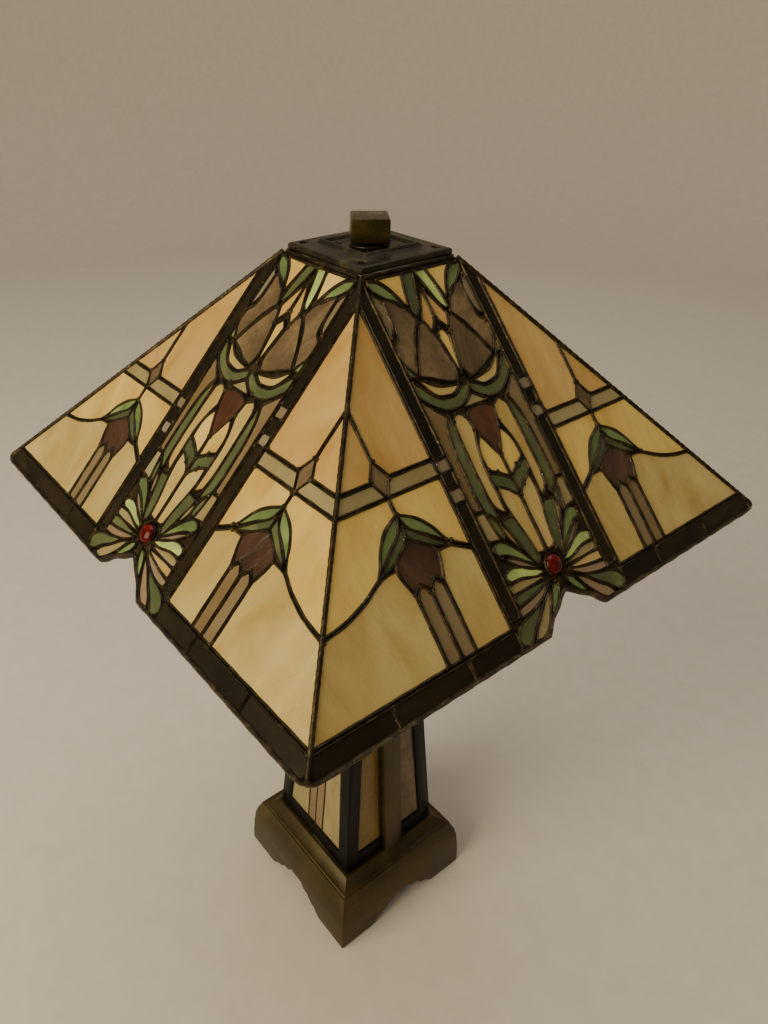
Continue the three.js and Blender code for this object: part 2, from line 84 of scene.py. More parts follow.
def slope_place(index, half, z, pitch):
    """Takes a sloping side's own plane, with Y up the slope, to its place on the lamp."""
    return turned_to(index) @ Matrix.Translation((0, -half, z)) @ Matrix.Rotation(pitch, 4, "X")


# ---- Materials --------------------------------------------------------------
def srgb(*values):
    """A colour given as 0 to 255 sRGB, as a linear RGBA."""
    linear = [((x / 255 + 0.055) / 1.055) ** 2.4 if x > 10 else x / 3294.6 for x in values]
    return (*linear, 1.0)


class Shader:
    """A material's node tree with short calls for the nodes used here."""

    def __init__(self, name, **sockets):
        self.material = bpy.data.materials.new(name)
        self.material.use_nodes = True
        self.tree = self.material.node_tree
        self.surface = self.tree.nodes["Principled BSDF"]
        for socket, value in sockets.items():
            self.surface.inputs[socket.replace("_", " ")].default_value = value

    def add(self, kind, settings=None, **sockets):
        made = self.tree.nodes.new(kind)
        for key, value in (settings or {}).items():
            setattr(made, key, value)
        for socket, value in sockets.items():
            self.set(made, socket.replace("_", " "), value)
        return made

    def set(self, node, socket, value):
        target = node.inputs[socket]
        if isinstance(value, bpy.types.NodeSocket):
            self.tree.links.new(value, target)
        else:
            target.default_value = value

    def noise(self, vector, scale, detail, roughness=0.5, distortion=0.0):
        made = self.add("ShaderNodeTexNoise", Vector=vector, Scale=scale, Detail=detail,
                        Roughness=roughness, Distortion=distortion)
        return made.outputs["Fac"]

    def stretched_noise(self, vector, scales, detail, roughness, distortion=0.0):
        """Noise with a scale of its own along each axis."""
        made = self.add("ShaderNodeMapping", Vector=vector, Scale=scales)
        return self.noise(made.outputs["Vector"], 1.0, detail, roughness, distortion)

    def ramp(self, value, *stops):
        made = self.add("ShaderNodeValToRGB", Fac=value)
        elements = made.color_ramp.elements
        while len(elements) < len(stops):
            elements.new(0.5)
        for element, (position, colour) in zip(elements, stops):
            element.position = position
            element.color = colour
        return made.outputs["Color"]

    def grey(self, value, low, high, start=0.0, end=1.0):
        """A value mapped from the range start to end onto the range low to high."""
        made = self.add("ShaderNodeMapRange")
        for socket, number in (("From Min", start), ("From Max", end), ("To Min", low),
                               ("To Max", high), ("Value", value)):
            self.set(made, socket, number)
        return made.outputs["Result"]

    def mix(self, factor, first, second):
        """The second colour over the first. The node's colour sockets share their names with
        others, so they go by number."""
        made = self.add("ShaderNodeMix", {"data_type": "RGBA"})
        for socket, value in (("Factor", factor), (6, first), (7, second)):
            self.set(made, socket, value)
        return made.outputs[2]

    def bump(self, height, distance, strength, under=None):
        """Relief some metres deep, on top of the relief under it."""
        made = self.add("ShaderNodeBump", Height=height, Strength=strength, Distance=distance)
        if under is not None:
            self.set(made, "Normal", under)
        return made.outputs["Normal"]

    def finish(self, colour, normal, roughness=None):
        """The material. Without a roughness the surface keeps the one it was given."""
        self.set(self.surface, "Base Color", colour)
        self.set(self.surface, "Normal", normal)
        if roughness is not None:
            self.set(self.surface, "Roughness", roughness)
        return self.material

    def object_space(self):
        return self.add("ShaderNodeTexCoord").outputs["Object"]

    def attribute(self, name, output):
        return self.add("ShaderNodeAttribute", {"attribute_name": name}).outputs[output]


def scaled(colour, factors):
    return (*(min(1.0, c * f) for c, f in zip(colour, factors)), 1.0)


def art_glass(name, middle, deep, pale, wisp=0.3, mottle=0.0, specular=0.35, roughness=0.3,
              waves=0.0009):
    """Opalescent sheet glass: broad soft streaks along the pane's grain, and a rolled surface."""
    shader = Shader(name, IOR=1.45, Subsurface_Weight=0.1, Subsurface_Scale=0.002,
                    Subsurface_Radius=(1.0, 0.8, 0.5), Specular_IOR_Level=specular,
                    Coat_Weight=0.1, Coat_Roughness=0.12)
    middle = srgb(*middle)
    dark, light = scaled(middle, deep), scaled(middle, pale)
    grain = shader.attribute("grain", "Vector")
    tone = shader.attribute("tone", "Fac")
    streak = shader.stretched_noise(grain, (0.014, 0.034, 1.0), 4.0, 0.5, 0.8)
    cloud = shader.stretched_noise(grain, (0.024, 0.03, 1.0), 3.0, 0.5, 0.6)
    fine = shader.stretched_noise(grain, (0.05, 0.22, 1.0), 4.0, 0.6, 0.5)
    body = shader.ramp(streak, (0.3, dark), (0.5, middle), (0.72, light))
    body = shader.mix(shader.grey(cloud, 0.0, wisp, 0.46, 0.7), body, light)
    body = shader.mix(shader.grey(fine, 0.0, 0.12, 0.5, 0.75), body, dark)
    if mottle:
        spots = shader.stretched_noise(grain, (0.16, 0.2, 1.0), 2.0, 0.5, 0.5)
        body = shader.mix(shader.grey(spots, 0.0, mottle, 0.45, 0.7), body, dark)
    shaded = shader.mix(shader.grey(tone, 0.0, 0.35), body, dark)
    ripple = shader.stretched_noise(grain, (0.07, 0.16, 1.0), 2.0, 0.5, 0.4)
    pebble = shader.noise(grain, 0.9, 2.0)
    normal = shader.bump(pebble, 0.00008, 0.3, shader.bump(ripple, waves, 0.4))
    rough = shader.grey(cloud, roughness - 0.06, roughness + 0.1, 0.35, 0.7)
    return shader.finish(shaded, normal, rough)


def aged_metal(name, dark, middle, light, metallic, roughness, scale=1.0, streaks=0.0, wear=0.5,
               specular=0.5):
    """Patinated metal: cloudy patina, small specks, fine pitting and, on request, dark runs."""
    shader = Shader(name, Metallic=metallic, Specular_IOR_Level=specular)
    space = shader.object_space()
    cloud = shader.noise(space, 22.0 * scale, 5.0, 0.6, 0.6)
    speck = shader.noise(space, 240.0 * scale, 4.0, 0.65)
    fine = shader.noise(space, 900.0 * scale, 3.0, 0.6)
    base = shader.ramp(cloud, (0.33, dark), (0.52, middle), (0.72, light))
    base = shader.mix(shader.grey(speck, 0.0, wear, 0.55, 0.74), base, light)
    base = shader.mix(shader.grey(speck, 0.35, 0.0, 0.3, 0.46), base, dark)
    if streaks:
        runs = shader.stretched_noise(space, (90.0, 90.0, 7.0), 4.0, 0.6)
        base = shader.mix(shader.grey(runs, 0.0, streaks, 0.5, 0.75), base, dark)
    rough = shader.grey(cloud, roughness - 0.1, roughness + 0.12, 0.3, 0.7)
    normal = shader.bump(fine, 0.00006, 0.5, shader.bump(cloud, 0.0006, 0.25))
    return shader.finish(base, normal, rough)


def solder():
    """Dark patina over hand-run solder, with small bright nicks."""
    shader = Shader("dark solder", Metallic=0.7)
    space = shader.object_space()
    flow = shader.noise(space, 160.0, 4.0, 0.6, 0.5)
    nick = shader.noise(space, 520.0, 3.0, 0.6)
    base = shader.ramp(flow, (0.3, srgb(26, 21, 13)), (0.52, srgb(52, 42, 25)),
                       (0.74, srgb(90, 75, 46)))
    base = shader.mix(shader.grey(nick, 0.0, 0.8, 0.68, 0.76), base, srgb(168, 158, 128))
    rough = shader.grey(nick, 0.52, 0.3, 0.4, 0.75)
    normal = shader.bump(nick, 0.00012, 0.5, shader.bump(flow, 0.0007, 0.6))
    return shader.finish(base, normal, rough)


def red_jewel():
    shader = Shader("red jewel glass", Roughness=0.16, IOR=1.5, Coat_Weight=0.15,
                    Coat_Roughness=0.06, Specular_IOR_Level=0.2, Subsurface_Weight=0.2,
                    Subsurface_Scale=0.002)
    space = shader.object_space()
    swirl = shader.noise(space, 190.0, 3.0, 0.5, 1.2)
    base = shader.ramp(swirl, (0.3, srgb(44, 0, 0)), (0.55, srgb(92, 3, 0)),
                       (0.75, srgb(128, 9, 3)))
    return shader.finish(base, shader.bump(swirl, 0.0003, 0.3))


def plain_surface(name, dark, light, roughness, scale=300.0, grain=0.0001, **sockets):
    """Moulded, pressed or painted stuff: two near tones, with grain in colour and relief."""
    shader = Shader(name, **sockets)
    space = shader.object_space()
    mottle = shader.noise(space, scale, 5.0, 0.65)
    base = shader.ramp(mottle, (0.35, dark), (0.68, light))
    rough = shader.grey(mottle, roughness - 0.07, roughness + 0.07, 0.3, 0.7)
    return shader.finish(base, shader.bump(mottle, grain, 0.6), rough)


# Families of glass: what the deepest and palest streaks multiply the middle tone by, and more
WARM = {"deep": (0.82, 0.74, 0.6), "pale": (1.18, 1.26, 1.42)}
LEAFY = {"deep": (0.5, 0.55, 0.55), "pale": (2.0, 1.8, 1.7), "mottle": 0.3}
EARTHY = {"deep": (0.5, 0.47, 0.44), "pale": (2.0, 2.0, 2.0), "mottle": 0.45, "waves": 0.003}
INKY = {"deep": (0.5, 0.5, 0.5), "pale": (2.2, 2.2, 2.0), "wisp": 0.1, "specular": 0.12,
        "roughness": 0.45}
GLASS_TONES = {  # the middle tone and the family
    "amber": ((214, 182, 99), WARM),
    "honey": ((194, 158, 92), WARM),
    "cream": ((188, 164, 100), WARM),
    "straw": ((124, 106, 74), WARM),
    "khaki": ((150, 136, 94), WARM),
    "taupe": ((128, 114, 90), WARM),
    "rose": ((142, 120, 96), WARM),
    # caramel here and olive below serve only the column's sides: darker tones of its glass that are
    # painted shade
    "caramel": ((120, 96, 42), WARM),
    "dark_green": ((84, 92, 58), LEAFY),
    "leaf_green": ((108, 128, 76), LEAFY),
    "bright_green": ((170, 188, 112), LEAFY),
    "maroon": ((74, 50, 36), EARTHY),
    "umber": ((106, 88, 62), EARTHY),
    "russet": ((82, 50, 30), EARTHY),
    "olive": ((86, 78, 52), EARTHY),
    "black": ((33, 27, 15), INKY),
}
GLASSES = {name: art_glass(f"{name} glass", middle, **looks)
           for name, (middle, looks) in GLASS_TONES.items()}
SOLDER = solder()
JEWEL = red_jewel()
BRONZE = aged_metal("antique bronze", srgb(48, 39, 14), srgb(64, 53, 21), srgb(84, 71, 33),
                    metallic=0.5, roughness=0.42, wear=0.2)
FINIAL_BRONZE = aged_metal("olive brass", srgb(46, 39, 11), srgb(67, 57, 21), srgb(106, 94, 48),
                           metallic=0.6, roughness=0.3, wear=0.25)
CAP_BRONZE = aged_metal("dark cap bronze", srgb(20, 17, 10), srgb(40, 34, 21), srgb(96, 84, 57),
                        metallic=0.5, roughness=0.36, wear=0.42)
BLACK = aged_metal("black patina", srgb(2, 2, 1), srgb(4, 3, 2), srgb(16, 12, 7),
                   metallic=0.1, roughness=0.4, wear=0.25, streaks=0.3, specular=0.14)
BRASS = aged_metal("aged brass", srgb(104, 78, 32), srgb(156, 124, 62), srgb(198, 168, 100),
                   metallic=0.95, roughness=0.3, scale=2.0)
STEEL = aged_metal("zinc plate", srgb(84, 84, 82), srgb(124, 124, 120), srgb(164, 162, 156),
                   metallic=0.9, roughness=0.4, scale=2.0)
BULB = plain_surface("frosted bulb glass", srgb(226, 222, 210), srgb(244, 241, 232), 0.42, 500.0,
                     0.00003, IOR=1.45, Subsurface_Weight=0.4, Subsurface_Scale=0.004)
PHENOLIC = plain_surface("black phenolic", srgb(14, 14, 14), srgb(28, 27, 25), 0.45)
RUBBER = plain_surface("rubber", srgb(18, 17, 16), srgb(34, 32, 30), 0.75)
FELT = plain_surface("brown felt", srgb(44, 32, 20), srgb(82, 62, 42), 0.95, 900.0, 0.0004,
                     Sheen_Weight=0.6)


# ---- Mesh building ----------------------------------------------------------
def new_object(name, mesh, material, sharp):
    """An object in one material, smooth except where faces meet at more than sharp degrees."""
    mesh.materials.clear()
    mesh.materials.append(material)
    mesh.shade_smooth()
    mesh.set_sharp_from_angle(angle=math.radians(sharp))
    made = bpy.data.objects.new(name, mesh)
    bpy.context.scene.collection.objects.link(made)
    return made


class Piece:
    """Vertices and faces collected in millimetres, then placed and turned into one object.

    Each vertex also has a place in the glass it was cut from (grain) and a darkening (tone).
    """

    def __init__(self):
        self.points = []
        self.faces = []
        self.grain = []
        self.tone = []

    def add(self, points, faces, grain=None, tone=0.0):
        first = len(self.points)
        self.points += [Vector(p) for p in points]
        self.faces += [tuple(first + i for i in face) for face in faces]
        self.grain += grain or [tuple(p) for p in points]
        self.tone += [tone] * len(points)

    def mesh(self, name, place=Matrix.Identity(4)):
        mesh = bpy.data.meshes.new(name)
        mesh.from_pydata([(place @ p) * MM for p in self.points], [], self.faces)
        grain = mesh.attributes.new("grain", "FLOAT_VECTOR", "POINT")
        grain.data.foreach_set("vector", [c for g in self.grain for c in g])
        mesh.attributes.new("tone", "FLOAT", "POINT").data.foreach_set("value", self.tone)
        return mesh

    def build(self, name, material, body, slot, place=Matrix.Identity(4), sharp=40, replaces=()):
        """The piece as an object that rides a body and may stand for CAD nodes."""
        made = new_object(name, self.mesh(name, place), material, sharp)
        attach(made, body)
        if replaces:
            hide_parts(*replaces)


def around(steps):
    """Angles spaced evenly round a full turn."""
    return [2 * math.pi * i / steps for i in range(steps)]


def loop_walls(count):
    """Side faces between a loop of points and the same loop again, listed after it."""
    return [(i, i + count, (i + 1) % count + count, (i + 1) % count) for i in range(count)]


def loop_ends(count):
    return [tuple(range(count)), tuple(range(2 * count - 1, count - 1, -1))]


def lathe(piece, profile, steps, place=Matrix.Identity(4)):
    """Turns (radius, height) pairs about Z; a radius of zero closes the end."""
    rings = []
    points = []
    for radius, height in profile:
        if radius == 0:
            rings.append([len(points)])
            points.append(place @ Vector((0, 0, height)))
            continue
        rings.append(list(range(len(points), len(points) + steps)))
        for angle in around(steps):
            across, along = radius * math.cos(angle), radius * math.sin(angle)
            points.append(place @ Vector((across, along, height)))
    faces = []
    for low, high in zip(rings, rings[1:]):
        for i in range(steps):
            j = (i + 1) % steps
            if len(low) == 1 and len(high) > 1:
                faces.append((low[0], high[j], high[i]))
            elif len(high) == 1 and len(low) > 1:
                faces.append((low[i], low[j], high[0]))
            elif len(low) > 1:
                faces.append((low[i], low[j], high[j], high[i]))
    piece.add(points, faces)


def catmull(before, start, end, after, t):
    """A point t of the way along a smooth curve from start to end."""
    return [0.5 * (2 * b + (c - a) * t + (2 * a - 5 * b + 4 * c - d) * t * t
                   + (3 * b - a - 3 * c + d) * t ** 3)
            for a, b, c, d in zip(before, start, end, after)]


def smooth_run(points, step=2.5):
    """A smooth line through the points, sampled about every step millimetres.

    Two points on their own are joined by a straight line.
    """
    count = len(points)
    line = []
    for i in range(count - 1):
        start, end = points[i], points[i + 1]
        before = points[i - 1] if i else start
        after = points[i + 2] if i + 2 < count else end
        pieces = max(1, round(math.dist(start, end) / step))
        for k in range(pieces):
            t = k / pieces
            if count == 2:
                line.append([a + (b - a) * t for a, b in zip(start, end)])
            else:
                line.append(catmull(before, start, end, after, t))
    return line + [list(points[-1])]


def outline(points):
    """A closed outline and its corners. A point with a third value is a corner, the rest curve."""
    first = next(i for i, p in enumerate(points) if len(p) == 3)
    turned = [*points[first:], *points[:first], points[first]]
    line, marks, run = [], [], [turned[0][:2]]
    for point in turned[1:]:
        run.append(point[:2])
        if len(point) == 3:
            marks.append(run[0])
            line += smooth_run(run)[:-1]
            run = [point[:2]]
    return line, marks


def corners(*points):
    """An outline of straight lines only."""
    return [(u, v, 1) for u, v in points]


def mirror(points):
    return [(-p[0], *p[1:]) for p in points]


def area(line):
    return 0.5 * sum(a[0] * b[1] - b[0] * a[1] for a, b in zip(line, line[1:] + line[:1]))


def to_plane(points):
    """From distances down the slope to the plane's own Y up the slope, turned anticlockwise."""
    line = [(u, -v) for u, v in points]
    return line if area(line) > 0 else line[::-1]


def add_pane(piece, line, draw, streak, thickness=GLASS, top=0.0):
    """One cut piece of glass, lying at a slightly different tilt from its neighbours.

    Its streaks run at the streak angle in degrees, give or take a few.
    """
    count = len(line)
    middle = [sum(p[k] for p in line) / count for k in (0, 1)]
    reach = max(math.dist(p, middle) for p in line)
    tilt_x = draw.uniform(-0.3, 0.3) / reach
    tilt_y = draw.uniform(-0.3, 0.3) / reach
    angle = math.radians(streak + draw.uniform(-14, 14))
    along = (math.cos(angle), math.sin(angle))
    seed = draw.uniform(0, 900)
    points, grain = [], []
    for lift in (0.0, -thickness):
        for x, y in line:
            lean = (x - middle[0]) * tilt_x + (y - middle[1]) * tilt_y
            points.append((x, y, top + lift + (lean if lift == 0.0 else 0.0)))
            grain.append((x * along[0] + y * along[1] + seed, y * along[0] - x * along[1] + seed,
                          seed * 3.7 + lift * 0.05))
    tone = draw.uniform(0.0, 1.0) ** 1.5  # 0 leaves the pane as it is and 1 darkens it most
    piece.add(points, loop_ends(count) + loop_walls(count), grain, tone)


def tube_faces(rows, sides, closed=False):
    """Faces round a tube of rows of points, joined end to start or capped at both ends."""
    spans = rows if closed else rows - 1
    faces = []
    for row in range(spans):
        near, far = row * sides, (row + 1) % rows * sides
        for k in range(sides):
            j = (k + 1) % sides
            faces.append((near + k, near + j, far + j, far + k))
    if not closed:
        faces.append(tuple(range(sides))[::-1])
        faces.append(tuple((rows - 1) * sides + k for k in range(sides)))
    return faces


def add_bead(piece, line, closed, draw, width=1.1, height=2.5, middle=-1.5, outset=0.0):
    """A run of solder: a flattened tube whose width wanders a little along the line.

    Its middle is a height over the face, and outset moves it to the line's right.
    """
    sides = 8
    count = len(line)
    phase = draw.uniform(0, 6.28)
    points = []
    for i, here in enumerate(line):
        before = line[i - 1] if (closed or i) else here
        after = line[(i + 1) % count] if (closed or i + 1 < count) else here
        along = Vector((after[0] - before[0], after[1] - before[1])).normalized()
        side = Vector((along.y, -along.x))
        swell = 1 + 0.10 * math.sin(i * 0.9 + phase) + draw.uniform(-0.05, 0.05)
        for angle in around(sides):
            across = width * swell * math.cos(angle) + outset
            points.append((here[0] + side.x * across, here[1] + side.y * across,
                           middle + height * (0.85 + 0.15 * swell) * math.sin(angle)))
    piece.add(points, tube_faces(count, sides, closed))


def add_puddle(piece, at, draw):
    """A low round blob of solder where leads meet, sunk a little into them."""
    radius = 1.55 * draw.uniform(0.8, 1.25)
    height, steps = 1.4, 9
    points = [(at[0], at[1], height)]
    for share, level in ((0.45, 0.88), (0.8, 0.55), (1.0, 0.0)):
        for angle in around(steps):
            points.append((at[0] + radius * share * math.cos(angle),
                           at[1] + radius * share * math.sin(angle), height * level - 0.4))
    faces = [(0, 1 + i, 1 + (i + 1) % steps) for i in range(steps)]
    for row in range(2):
        for i in range(steps):
            a, b = 1 + row * steps + i, 1 + row * steps + (i + 1) % steps
            faces.append((a, a + steps, b + steps, b))
    faces.append(tuple(1 + 2 * steps + i for i in range(steps))[::-1])
    piece.add(points, faces)


# ---- The pattern of a shade face --------------------------------------------
# Each pane is a colour, the lean of its streaks in degrees, and an outline in millimetres: U from
# the middle of the face and V down the slope. Where two colours stand, the left half has the
# first.
BAR = (41.2, 48.8)  # the dark bar between the middle band and a side panel
PANEL_U = 51.6  # where a side panel starts
PANEL_FOOT = 226
STEM_U = 89.5  # the middle of a side panel's flower
STEM_LEFT, STEM_RIGHT = 88.3, 90.7
BAND_TOP, BAND_FOOT = 121, 129.4  # the band across a side panel
BORDER_V = 227.5  # the lead above the dark border
FOOT_V = SLANT - 2.2  # where the border's glass ends
JEWEL_V = 206
JEWEL_RING = 7.3
TOP_LEAD_V = 4
ROUND = 5  # how far the shade's lower corners are cut back
PUDDLE_SHARE = 0.55  # how many of the panes' corners have a blob of solder
NOTCH = ((0, 223.5), (11, 230), (19, 234.5), (26, 241), (30, SLANT), (50, SLANT))
BORDER_SEAMS = (49.6, 88, 143)
BAR_BREAKS = {  # where the dark bars change colour, from the top down
    -1: ((120.2, "black"), (129.2, "taupe"), (139.2, "black"), (148.6, "taupe"), (222.5, "black")),
    1: ((91.2, "black"), (100.4, "taupe"), (110.4, "black"), (119.6, "taupe"), (222.5, "black")),
}


def below_hip(u):
    """The point on the glass edge along the hip at a distance u from the middle."""
    return u, (u + HIP_EDGE - SHADE_TOP_HALF) * SLANT / SHADE_RUN


def at_hip(v):
    """The point on the glass edge along the hip at a distance v down the slope."""
    return glass_hip(v), v


SIDE_PANEL = [
    ("honey", 80, corners(below_hip(PANEL_U), below_hip(STEM_LEFT), (STEM_LEFT, 108.5),
                          (82.3, 118.5), (PANEL_U, 118.5))),
    ("honey", 84, corners(below_hip(STEM_RIGHT), at_hip(118.5), (96.7, 118.5),
                          (STEM_RIGHT, 108.5))),
    ("umber", 80, corners((STEM_U, 108.8), (95.2, 119.5), (STEM_U, 130), (83.8, 119.5))),
    ("khaki", 5, corners((PANEL_U, BAND_TOP), (83.4, BAND_TOP), (88, BAND_FOOT),
                         (PANEL_U, BAND_FOOT))),
    ("khaki", 5, corners((95.6, BAND_TOP), at_hip(BAND_TOP), at_hip(BAND_FOOT), (91, BAND_FOOT))),
    ("amber", 82, [(PANEL_U, 131.6, 1), (STEM_LEFT, 131.6, 1), (STEM_LEFT, 140.5, 1),
                   (77, 146.6), (70, 154.5), (65.4, 162.5), (62, 166.2, 1), (PANEL_U, 172.3, 1)]),
    ("amber", 82, [(STEM_RIGHT, 131.6, 1), (*at_hip(131.6), 1), (*at_hip(181.8), 1),
                   (145, 179.3), (130, 174.3), (118, 168.2, 1), (113.6, 162.5), (109, 154.5),
                   (102, 146.6), (STEM_RIGHT, 140.5, 1)]),
    ("cream", 86, [(PANEL_U, 176.2, 1), (64, 169, 1), (73.6, 168.6, 1), (75.2, 175),
                   (78, 182, 1), (78, PANEL_FOOT, 1), (PANEL_U, PANEL_FOOT, 1)]),
    ("cream", 86, [(101, 182, 1), (103.8, 175), (105.4, 168.6, 1), (116.2, 170), (129.5, 176.6),
                   (145, 181.8), (*at_hip(184.4), 1), (*at_hip(PANEL_FOOT), 1),
                   (101, PANEL_FOOT, 1)]),
    ("straw", 88, corners((80.2, 186), (84.5, 181.6), (STEM_LEFT, 186.2),
                          (STEM_LEFT, PANEL_FOOT), (80.2, PANEL_FOOT))),
    ("straw", 88, corners((STEM_RIGHT, 186.2), (94.5, 181.6), (98.8, 186), (98.8, PANEL_FOOT),
                          (STEM_RIGHT, PANEL_FOOT))),
]
FLOWER_HALF = [  # drawn on both sides of the stem; U is counted from the stem
    ("leaf_green", 40, [(0.9, 141.8, 1), (9.4, 146.4), (17, 153.4), (24, 164.6, 1), (14, 156.8),
                        (5, 150.6)]),
    ("dark_green", 40, [(0.9, 148.2, 1), (6.4, 153.4), (13.6, 159), (24.4, 167.6, 1), (14.6, 164),
                        (7, 159.2), (0.9, 154.8, 1)]),
]
CENTRE_HALF = [
    ("leaf_green", 50, [(37.2, 7.6, 1), (36.4, 13), (28.6, 20.6), (20, 28, 1), (23.6, 18),
                        (30.4, 10)]),
    ("amber", 60, [(11, 7.4, 1), (29.6, 7.4, 1), (22.6, 15), (16.6, 27.6, 1)]),
    (("dark_green", "bright_green"), 78, [(1.3, 7.4, 1), (8.8, 7.4, 1), (12, 20), (13.4, 35, 1),
                                         (9.6, 32), (5.4, 20)]),
    ("honey", 70, [(1.3, 20.5, 1), (5.6, 29.5), (9.6, 38.4, 1), (6.6, 47, 1), (1.3, 39.5, 1)]),
    ("taupe", 84, [(38, 16.4, 1), (38.4, 45, 1), (34.4, 38), (33.6, 21.6, 1)]),
    ("umber", 60, [(18.6, 30, 1), (25.4, 22.8), (31.6, 21, 1), (32, 38), (34, 46.4), (38.4, 50, 1),
                   (38.4, 60), (33, 69.6, 1), (27, 57), (20.6, 45), (14.6, 38, 1)]),
    ("umber", 75, [(10.6, 41, 1), (13.6, 40.2, 1), (19.4, 49.4), (25.6, 60), (30.6, 71.4, 1),
                   (22, 75), (14, 78.8), (6.2, 81, 1), (3.4, 73), (5.2, 60), (7.4, 50, 1)]),
    ("leaf_green", 60, [(38.4, 63, 1), (38.4, 70.4, 1), (34.4, 71.4, 1)]),
    ("cream", 20, [(33.8, 73, 1), (24, 80.4), (15, 83), (6.8, 84, 1), (12, 87.2), (17.6, 87.4),
                   (26.6, 84.6)]),
    ("dark_green", 25, [(38.4, 74, 1), (38.4, 84, 1), (30, 92), (20, 96.6), (12.4, 96.2, 1),
                        (6, 93), (1.2, 88.6, 1), (1.2, 84.6, 1), (7, 87), (12, 89.6), (18, 90),
                        (27, 87)]),
    ("cream", 86, [(18.6, 99.8, 1), (22.6, 104.2, 1), (23.4, 120), (23.6, 150), (21.8, 161.5, 1),
                   (16.6, 165.6, 1), (17, 150), (17, 137), (15, 124), (10.9, 113, 1),
                   (12.8, 103, 1)]),
    ("amber", 80, [(8.4, 117, 1), (12.2, 122.6), (14.2, 130), (14.2, 138.6, 1), (8, 141.6, 1),
                   (1.2, 146.4, 1), (1.2, 133, 1), (5, 125.4)]),
    ("dark_green", 35, [(15.8, 140.8, 1), (9.2, 143.6, 1), (1.2, 148.8, 1), (1.2, 158, 1),
                        (7, 153, 1), (15.4, 148.6, 1)]),
    ("cream", 88, [(6.8, 155, 1), (13.4, 151, 1), (14, 160), (12.4, 170), (9, 185),
                   (7.2, 195.4, 1), (1.2, 196.4, 1), (1.2, 160.4, 1)]),
    ("dark_green", 84, [(25, 99.8, 1), (28.8, 109), (31.2, 122), (31.9, 150), (30.6, 160, 1),
                        (24, 167.8, 1), (25.4, 150), (25.2, 122)]),
    ("straw", 86, [(38.4, 88, 1), (33, 93.6), (27.4, 99.4, 1), (30.6, 108), (33, 122),
                   (33.7, 150), (33.2, 158.4, 1), (38.4, 158.4, 1)]),
    ("khaki", 86, [(38.4, 160.6, 1), (38.4, 177, 1), (33, 177.8), (29.6, 178.6, 1), (31.8, 168),
                   (32.8, 160.6, 1)]),
    # from here on, the fan of petals round the jewel
    ("dark_green", 70, [(14, 169.4, 1), (22.4, 170, 1), (18.6, 182), (14.2, 195), (11.6, 201, 1),
                        (8.4, 198.4, 1), (9.6, 187), (12, 176)]),
    ("khaki", 68, [(24.2, 170, 1), (23.8, 178), (18.8, 188.4, 1), (20.6, 179)]),
    ("dark_green", 78, [(30.4, 162.4, 1), (30.2, 171), (27.6, 179.4, 1), (25.4, 176.4, 1),
                        (27, 169)]),
    ("leaf_green", 35, [(37.8, 182.4, 1), (32, 179.8), (25.4, 184.2), (19.4, 191.2),
                        (11.8, 201.6, 1), (19.2, 195.8), (29.4, 188.4), (36, 186.6, 1)]),
    ("taupe", 30, [(34, 188.8, 1), (25, 193.4), (18, 198.6), (10.6, 204.2, 1), (19, 200.8),
                   (27.4, 195)]),
    ("bright_green", 12, [(38.2, 198.6, 1), (31, 196.8), (22.4, 199.6), (15.4, 203.2),
                          (9.8, 206.6, 1), (16, 207), (28, 203.6), (37, 203.2, 1)]),
    ("khaki", 2, [(38.6, 205.4, 1), (38.6, 210, 1), (29, 210.2), (9.8, 209.6, 1), (20.5, 207),
                  (29, 205)]),
    (("dark_green", "cream"), -2, [(10.6, 212.2, 1), (20, 211.8), (30, 211.4), (38.6, 212, 1),
                                   (38.8, 217.2, 1), (28, 216.2), (18, 214.4)]),
    ("rose", -12, [(10, 213.6, 1), (20, 216), (30, 218), (40, 219.4, 1), (39.6, 223.4, 1),
                   (30, 222.6), (19, 219.2)]),
    ("dark_green", -40, [(20.8, 221.4, 1), (30, 224.3), (38, 226), (45, 229), (48.6, 234.4),
                         (46, 239.4, 1), (42, 239.8, 1), (34, 232.2), (27, 227.3)]),
    (("khaki", "rose"), -50, [(12.4, 218.4, 1), (18.4, 222.4), (27, 229.8), (33, 234.4),
                              (36.8, 239.4, 1), (30.2, 239.8, 1), (24.4, 235.6), (18.2, 228)]),
    ("leaf_green", -60, [(4.2, 215.6, 1), (8.4, 217.4), (11.8, 222), (16.4, 230.6, 1), (11, 227),
                         (5.6, 220.8)]),
]
CENTRE_WHOLE = [
    ("amber", 90, corners((0, 46.5), (3.8, 51), (0, 77.5), (-3.8, 51))),
    ("khaki", 90, corners((0, 91.6), (9.4, 98), (-9.4, 98))),
    ("russet", 86, [(0, 99.6, 1), (6, 100.6), (11.2, 103.6, 1), (10.6, 108), (9.3, 112),
                    (6.2, 120.5), (0, 131, 1), (-6.2, 120.5), (-9.3, 112), (-10.6, 108),
                    (-11.2, 103.6, 1), (-6, 100.6)]),
]
FLOWER_SIDE = [(8, 161.2), (14.6, 167.2), (14.2, 174), (12.6, 178.5), (11, 184, 1), (7.6, 180.8),
               (5, 179.6, 1), (2.8, 181.2)]


def bar_panes(side):
    """The narrow dark bar beside the middle band, cut in lengths."""
    low, high = BAR
    lead = 1.9
    top = [below_hip(low), below_hip(high)]
    panes = []
    for foot, colour in BAR_BREAKS[side]:
        panes.append((colour, 88, corners(*top, (high, foot), (low, foot))))
        top = [(low, foot + lead), (high, foot + lead)]
    return panes


